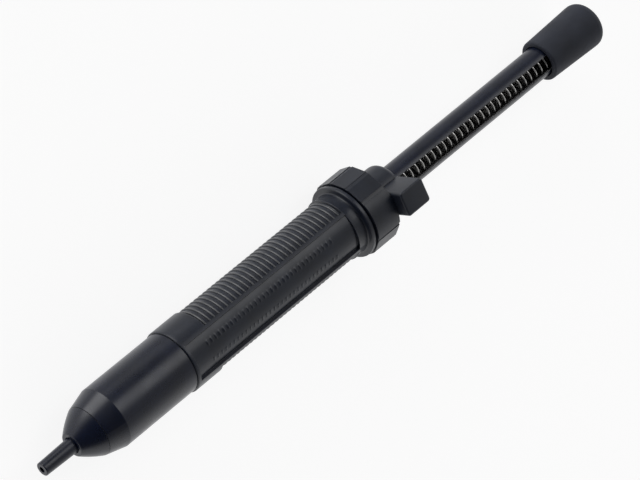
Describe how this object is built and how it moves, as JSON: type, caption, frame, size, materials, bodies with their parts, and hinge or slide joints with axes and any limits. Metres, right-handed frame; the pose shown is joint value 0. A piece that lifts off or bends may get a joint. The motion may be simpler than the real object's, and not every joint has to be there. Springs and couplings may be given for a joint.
{
  "type": "desoldering pump",
  "caption": "Spring-driven plunger pump that sucks molten solder through its nozzle, with a ribbed grip, a faceted collar, a trigger button and a slotted loading shaft.",
  "frame": {"origin": "centre of the nozzle's mouth, on the pump's axis", "axes": "+X along the pump from the nozzle to the knob, +Z towards the trigger button, +Y completes the right-handed frame"},
  "size_m": [0.2669, 0.028, 0.0325],
  "materials": {
    "tip_plastic": "satin, slightly glossy wear-resistant black plastic",
    "nose_plastic": "satin black static-dissipative plastic",
    "barrel_plastic": "smooth satin blue-black static-dissipative plastic",
    "sleeve_plastic": "fine-grained satin blue-black plastic",
    "collar_plastic": "satin blue-black plastic",
    "trigger_plastic": "satin blue-black plastic",
    "shaft_plastic": "semi-gloss black plastic tube",
    "knob_rubber": "matte black soft plastic",
    "seal_rubber": "greased black rubber",
    "spring_steel": "bright drawn spring wire",
    "latch_steel": "stamped zinc-plated steel",
    "pin_steel": "ground steel",
    "guide_plastic": "natural acetal"
  },
  "bodies": {
    "housing": {"nozzle_tip": "tip_plastic", "nozzle_seal": "seal_rubber", "nose_cap": "nose_plastic", "nose_seal": "seal_rubber", "barrel": "barrel_plastic", "grip_sleeve": "sleeve_plastic", "rear_collar": "collar_plastic", "spring_anchor": "latch_steel", "shaft_bush": "guide_plastic", "return_buffer": "seal_rubber", "trigger_spring": "spring_steel", "main_spring": "spring_steel"},
    "trigger": {"trigger_button": "trigger_plastic", "latch_plate": "latch_steel", "trigger_pin": "pin_steel"},
    "plunger": {"loading_shaft": "shaft_plastic", "knob": "knob_rubber", "end_plug": "guide_plastic", "plug_pin": "pin_steel", "piston": "guide_plastic", "piston_seal": "seal_rubber", "piston_pin": "pin_steel", "cleaning_pin": "pin_steel"}
  },
  "joints": [
    {"name": "plunger_slide", "type": "slide", "parent": "housing", "child": "plunger", "axis": [-1, 0, 0], "range_m": [0, 0.072], "deforming": ["main_spring"]},
    {"name": "trigger_press", "type": "slide", "parent": "housing", "child": "trigger", "axis": [0, 0, -1], "range_m": [0, 0.0016], "deforming": ["trigger_spring"]}
  ]
}
